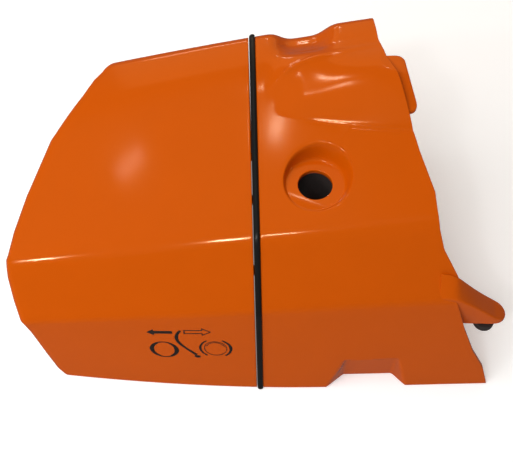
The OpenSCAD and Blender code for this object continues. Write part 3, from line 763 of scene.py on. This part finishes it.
def cover():
    b = Builder()
    outer_p, outer_line, outer_feet = cover_grid(0)
    inner_p, inner_line, inner_feet = cover_grid(WALL)
    outer = b.add(outer_p)
    inner = b.add(inner_p)
    wall_from = COVER_LINES + BEND_LINES
    i0 = wall_from + int(0.16 * REAR_ROWS)
    i1 = wall_from + int(0.86 * REAR_ROWS)
    j0 = int(np.searchsorted(outer_line[:, 1], AXIS_Y - CUP_BLOCK))
    j1 = int(np.searchsorted(outer_line[:, 1], AXIS_Y + CUP_BLOCK))

    def outside(i, j):
        return not (i0 <= i < i1 and j0 <= j < j1)

    b.grid(outer, outside)
    b.grid(inner, outside)
    loop = block_loop(outer, i0, i1, j0, j1)
    seat = b.rings(loop, knob_rings(b, loop, outer_line, outer_feet, True))
    loop = block_loop(inner, i0, i1, j0, j1)
    back = b.rings(loop, knob_rings(b, loop, inner_line, inner_feet, False))
    b.band(seat, back, closed=True, strip=True)
    b.band(outer[0], inner[0], strip=True)
    outer_rim = np.concatenate([outer[:, 0], outer[-1, 1:], outer[::-1, -1][1:]])
    inner_rim = np.concatenate([inner[:, 0], inner[-1, 1:], inner[::-1, -1][1:]])
    b.band(outer_rim, inner_rim, strip=True)
    b.build("cover_shell", "cover", "orange_shell", "filter_cover")


cover()


# ---- Seal ----
SEAL_HALF = 1.35


def seal():
    """Bead with a round crown and a flat lip inside the shells."""
    b = Builder()
    half = SEAL_HALF
    lip = WALL + 0.8
    # u from the joint plane, and depth below the shells' skin
    profile = [(-half, lip), (-half, 0.35), (-half + 0.03, -0.25), (-half + 0.22, -0.62)]
    profile += [(-0.7, -0.9), (-0.25, -0.99), (0.25, -0.99), (0.7, -0.9)]
    profile += [(half - 0.22, -0.62), (half - 0.03, -0.25), (half, 0.35), (half, lip)]
    rows = []
    for u, d in profile:
        y, z = section(u + 0 * T, T, d)
        rows.append(b.add(np.stack([JOINT_X + u + 0 * T, y, z], -1)))
    for a, c in zip(rows, rows[1:]):
        b.band(a, c)
    b.band(rows[-1], rows[0])
    for end in (0, -1):
        b.face([r[end] for r in rows])
    b.build("joint_bead", "shroud", "seal_rubber", "joint_seal", edge=0)


seal()


# ---- Printed symbol on the near wall of the cover ----
def wall_point(x, s, lift):
    """Point on the near wall at x, at distance s up the slope, raised by lift."""
    c = corners(np.asarray(x, float) - JOINT_X)
    foot = c[..., 0, :]
    up = c[..., 1, :] - foot
    up = up / np.linalg.norm(up, axis=-1, keepdims=True)
    p = foot + np.asarray(s)[..., None] * up
    return np.stack([x, p[..., 0] - lift * up[..., 1], p[..., 1] + lift * up[..., 0]], -1)


# Thickness of the print and how deep its back is in the wall
INK_T = 0.12
INK_SINK = 0.02


def ink_stroke(b, path, width):
    """A thin raised line of print along a path of (x, s), with a width at each end or all along."""
    path = np.array(path, float)
    width = np.interp(np.linspace(0, 1, len(path)), np.linspace(0, 1, len(width)), width)
    step = np.gradient(path, axis=0)
    step = step / np.linalg.norm(step, axis=1, keepdims=True)
    side = np.stack([-step[:, 1], step[:, 0]], -1) * width[:, None] / 2
    rows = []
    for sign, high in ((1, 0.0), (0.9, INK_T), (-0.9, INK_T), (-1, 0.0)):
        q = path + sign * side
        rows.append(b.add(wall_point(q[:, 0], q[:, 1], high - INK_SINK)))
    for k in range(4):
        b.band(rows[k], rows[(k + 1) % 4])
    b.face([r[0] for r in rows])
    b.face([r[-1] for r in rows][::-1])


def arc(cx, cs, rx, rs, from_deg, to_deg, n=24):
    a = np.radians(np.linspace(from_deg, to_deg, n))
    return np.stack([cx + rx * np.cos(a), cs + rs * np.sin(a)], -1)


def bow(a, m, e, n=18):
    w = np.linspace(0, 1, n)[:, None]
    return (1 - w) ** 2 * np.array(a) + 2 * w * (1 - w) * np.array(m) + w * w * np.array(e)


def symbol():
    """Two rings, two arrows and a lever. Places are X and the distance up the wall."""
    b = Builder()
    ring_a = (-42.3, 29.3)
    for from_deg, to_deg in ((118, 242), (-62, 62)):
        ink_stroke(b, arc(*ring_a, 5.7, 5.7, from_deg, to_deg), [1.2, 2.2, 1.2])
    for from_deg, to_deg in ((62, 118), (242, 298)):
        ink_stroke(b, arc(*ring_a, 5.8, 5.9, from_deg, to_deg, 12), [0.8, 0.5, 0.8])
    ring_b = (-18.6, 31.8)
    ink_stroke(b, arc(*ring_b, 7.0, 6.8, 122, 236), [0.6, 1.2, 0.7])
    ink_stroke(b, arc(*ring_b, 7.0, 6.9, -52, 64), [0.7, 1.5, 0.7])
    ink_stroke(b, arc(*ring_b, 5.1, 5.3, 0, 359, 40), [0.34])
    ink_stroke(b, arc(*ring_b, 4.3, 4.5, 20, 160, 20), [0.3])
    lever = np.concatenate([
        bow((-33.8, 44.6), (-37.6, 39.6), (-34.7, 34.6)),
        bow((-34.7, 34.6), (-32.9, 31.6), (-27.6, 26.2))[1:],
    ])
    ink_stroke(b, lever, [1.2, 1.7, 1.5, 1.2, 1.5])
    ink_stroke(b, bow((-28.6, 25.2), (-27.2, 24.6), (-25.9, 24.9)), [1.2, 2.0, 1.2])
    ink_stroke(b, [(-49.1, 42.3), (-45.9, 42.5)], [0.1, 4.8])
    ink_stroke(b, [(-45.9, 42.5), (-37.6, 43.0)], [2.1])
    for side in (1, -1):
        ink_stroke(b, [(-32.2, 43.7 + 1.15 * side), (-24.2, 44.2 + 1.15 * side)], [0.5])
        ink_stroke(b, [(-24.1, 44.2 + 2.5 * side), (-20.3, 44.4)], [0.5])
        ink_stroke(b, [(-24.1, 44.2 + 2.6 * side), (-24.1, 44.2 + 0.9 * side)], [0.5])
    ink_stroke(b, [(-32.1, 42.4), (-32.1, 45.0)], [0.6])
    b.build("brake_print", "cover", "print_ink", "brake_symbol", edge=0)


symbol()

# ---- Materials of the CAD nodes that stay ----
shown = {row["node"]: row["material_slot"] for row in frame["record"]["subparts"]}
for name, piece in frame["nodes"].items():
    for k in range(len(piece.material_slots)):
        piece.material_slots[k].material = materials[shown[name]]

# ---- Floor, lights, camera ----
# Half the floor's side and its drop below the rim, in metres, and how strongly it glows
FLOOR_HALF = 4.0
FLOOR_DROP = 0.0006
FLOOR_GLOW = 0.28
WORLD_GLOW = 0.14
floor_mesh = bpy.data.meshes.new("floor")
floor_corners = [(-1, -1), (1, -1), (1, 1), (-1, 1)]
floor_mesh.from_pydata([(FLOOR_HALF * x, FLOOR_HALF * y, 0) for x, y in floor_corners], [],
                       [(0, 1, 2, 3)])
floor = bpy.data.objects.new("floor", floor_mesh)
floor.location.z = -FLOOR_DROP
bpy.context.scene.collection.objects.link(floor)
floor.visible_glossy = False
pale = bpy.data.materials.new("pale_floor")
pale.use_nodes = True
pale_shader = pale.node_tree.nodes["Principled BSDF"]
pale_shader.inputs["Base Color"].default_value = (0.93, 0.93, 0.93, 1)
pale_shader.inputs["Roughness"].default_value = 0.9
pale_shader.inputs["Emission Color"].default_value = (1, 1, 1, 1)
pale_shader.inputs["Emission Strength"].default_value = FLOOR_GLOW
floor_mesh.materials.append(pale)

world = bpy.data.worlds.new("studio")
bpy.context.scene.world = world
world.use_nodes = True
world.node_tree.nodes["Background"].inputs["Color"].default_value = (1, 1, 1, 1)
world.node_tree.nodes["Background"].inputs["Strength"].default_value = WORLD_GLOW

# Middle of the object and the distance of the lamps from the spot that they face, in millimetres
MIDDLE = (0, 0, 80)
REACH = 900


def soft_light(name, spot, toward, width, height, power, spin=0.0, color=(1, 1, 1), glossy=True):
    """An area light in the direction toward from a spot (mm) on the object, facing that spot."""
    data = bpy.data.lights.new(name, "AREA")
    data.shape = "RECTANGLE"
    data.size = width
    data.size_y = height
    data.energy = power
    data.color = color
    lamp = bpy.data.objects.new(name, data)
    bpy.context.scene.collection.objects.link(lamp)
    lamp.visible_glossy = glossy
    way = Vector(toward).normalized()
    place = (Vector(spot) + way * REACH) * MM
    turn = (-way).to_track_quat("-Z", "Y").to_matrix().to_4x4()
    lamp.matrix_world = Matrix.Translation(place) @ turn @ Matrix.Rotation(math.radians(spin), 4, "Z")


WARM = (1, 0.66, 0.3)
soft_light("crease_left", (-94, -30, 65), (-0.61, -0.45, 0.65), 0.07, 0.05, 0.7)
soft_light("crease_right", (-9, -31, 81), (-0.30, -0.50, 0.81), 0.08, 0.06, 0.9)
soft_light("streaks", (-52, 6, 85), (-0.47, 0.08, 0.88), 0.02, 0.06, 0.022, spin=40)
soft_light("patch", (10, 16, 98), (-0.22, 0.10, 0.97), 0.04, 0.022, 0.05)
soft_light("flank", (43, 13, 102), (-0.25, -0.51, 0.82), 0.1, 0.03, 0.4)
soft_light("crown", (36, 29, 108), (-0.26, 0.22, 0.94), 0.03, 0.02, 0.06)
soft_light("scoop_light", (24, 59, 102), (-0.15, 0.76, 0.63), 0.03, 0.06, 0.12)
soft_light("dish_light", (33, 0, 89), (0.0, 0.43, 0.90), 0.03, 0.03, 0.05)
soft_light("far_edge", (-22, 58, 100), (-0.29, 0.82, 0.48), 0.2, 0.05, 0.2)
soft_light("broad_back", MIDDLE, (0.1, 0.75, 0.75), 1.2, 0.6, 1.6, color=WARM)
soft_light("fill", MIDDLE, (-0.45, -0.25, 0.86), 1.0, 1.0, 8.0, glossy=False)

# Camera, above the near side
ELEVATION = math.radians(60)
ROLL = math.radians(1.4)
DISTANCE = 391 * MM
FOCAL = 59.65
AIM = Vector((1.35, -12, 55)) * MM
camera_data = bpy.data.cameras.new("camera")
camera_data.lens = FOCAL
camera_data.sensor_width = 36
camera_data.clip_start = 0.01
camera = bpy.data.objects.new("camera", camera_data)
bpy.context.scene.collection.objects.link(camera)
back = Vector((0, -math.cos(ELEVATION), math.sin(ELEVATION)))
right = Vector((1, 0, 0))
up = back.cross(right)
camera_right = right * math.cos(ROLL) - up * math.sin(ROLL)
camera_up = up * math.cos(ROLL) + right * math.sin(ROLL)
turned = Matrix((camera_right, camera_up, back)).transposed().to_4x4()
camera.matrix_world = Matrix.Translation(AIM + back * DISTANCE) @ turned
bpy.context.scene.camera = camera
bpy.context.scene.view_settings.view_transform = "Standard"
